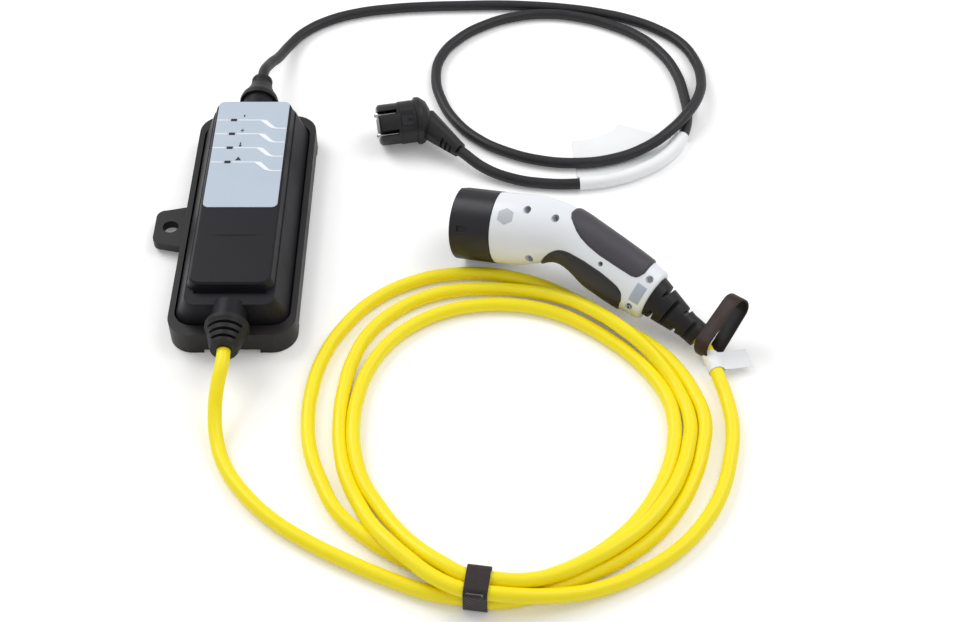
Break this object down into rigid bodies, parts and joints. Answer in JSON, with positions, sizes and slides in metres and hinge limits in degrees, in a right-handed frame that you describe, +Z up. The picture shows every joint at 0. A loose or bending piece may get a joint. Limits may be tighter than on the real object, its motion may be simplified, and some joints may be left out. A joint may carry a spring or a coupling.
{
  "type": "portable ev charger",
  "caption": "Portable car charger: a flat control box with a mains lead and angled plug at one end and a coiled charging cable with a bent vehicle connector at the other.",
  "frame": {"origin": "on the floor, below the middle of the control box together with its hanging lug", "axes": "+Y along the control box towards the mains lead, +Z up out of its label, -X towards the hanging lug"},
  "size_m": [0.5144, 0.7271, 0.0726],
  "materials": {
    "box_plastic": "fine moulded grain",
    "gasket_rubber": "matte",
    "label_film": "satin film with pale lines",
    "light_lens": "dark gloss",
    "board_laminate": "satin solder mask",
    "led_resin": "gloss",
    "relay_plastic": "matte",
    "core_coating": "matte",
    "tape_yellow": "matte",
    "sleeve_blue": "satin",
    "terminal_green": "matte",
    "screw_steel": "zinc plated",
    "relief_rubber": "matte",
    "mains_jacket": "matte",
    "charge_jacket": "satin polyurethane",
    "strap_fabric": "hook and loop weave",
    "strap_brown": "woven band",
    "tag_paper": "matte film",
    "nose_plastic": "fine moulded grain",
    "carrier_plastic": "matte",
    "contact_metal": "silver plated",
    "housing_white": "satin",
    "grip_grey": "soft touch",
    "grip_black": "soft touch",
    "plate_grey": "satin foil",
    "plug_rubber": "satin",
    "pin_nickel": "nickel plated"
  },
  "bodies": {
    "root": {"base_tray": "box_plastic", "cover_gasket": "gasket_rubber", "top_cover": "box_plastic", "front_label": "label_film", "light_guides": "light_lens", "circuit_board": "board_laminate", "status_leds": "led_resin", "power_relays": "relay_plastic", "current_sensor": "core_coating", "supply_transformer": "tape_yellow", "filter_capacitors": "sleeve_blue", "mains_terminals": "terminal_green", "charge_terminals": "terminal_green", "case_screws": "screw_steel", "mains_gland": "relief_rubber", "charge_gland": "relief_rubber", "mains_lead": "mains_jacket", "mains_label": "tag_paper", "charge_lead": "charge_jacket", "charge_coil": "charge_jacket", "charge_tail": "charge_jacket", "coil_tie": "strap_fabric", "cable_strap": "strap_brown", "cable_label": "tag_paper", "nose_shroud": "nose_plastic", "contact_carrier": "carrier_plastic", "contact_tubes": "carrier_plastic", "power_contacts": "contact_metal", "signal_contacts": "contact_metal", "housing_top": "housing_white", "housing_base": "housing_white", "back_grip": "grip_grey", "front_grip": "grip_black", "housing_screws": "screw_steel", "rating_plate": "plate_grey", "cable_clamp": "carrier_plastic", "bend_relief": "relief_rubber", "plug_body": "plug_rubber", "pin_guard": "plug_rubber", "plug_pins": "pin_nickel", "earth_clips": "screw_steel"}
  },
  "joints": []
}
